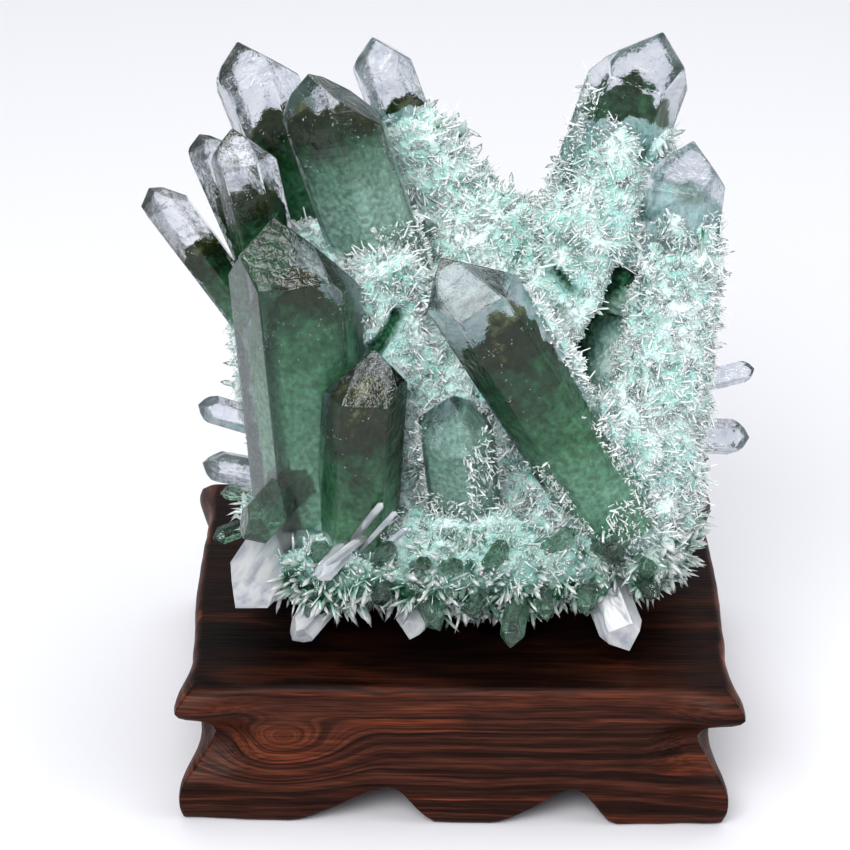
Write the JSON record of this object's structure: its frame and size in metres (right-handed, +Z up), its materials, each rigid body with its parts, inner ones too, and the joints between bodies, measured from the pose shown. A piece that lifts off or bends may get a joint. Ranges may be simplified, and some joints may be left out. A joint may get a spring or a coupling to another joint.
{
  "type": "quartz cluster on a carved stand",
  "caption": "Cluster of clear and green phantom quartz points with a crust of fine needles, resting on a carved dark hardwood stand.",
  "frame": {"origin": "on the table, under the middle of the whole part", "axes": "+Z up, -Y towards the front, where the long arched side of the stand and the largest green points are, +X to the right seen from the front"},
  "size_m": [0.1633, 0.1164, 0.1964],
  "materials": {
    "quartz": "clear to milky green crystal with glossy faces and a white to mint needle crust",
    "stand_wood": "dark hardwood with red-brown streaks, hand carved, satin polish"
  },
  "bodies": {
    "root": {"quartz_cluster": "quartz", "wooden_stand": "stand_wood"}
  },
  "joints": []
}
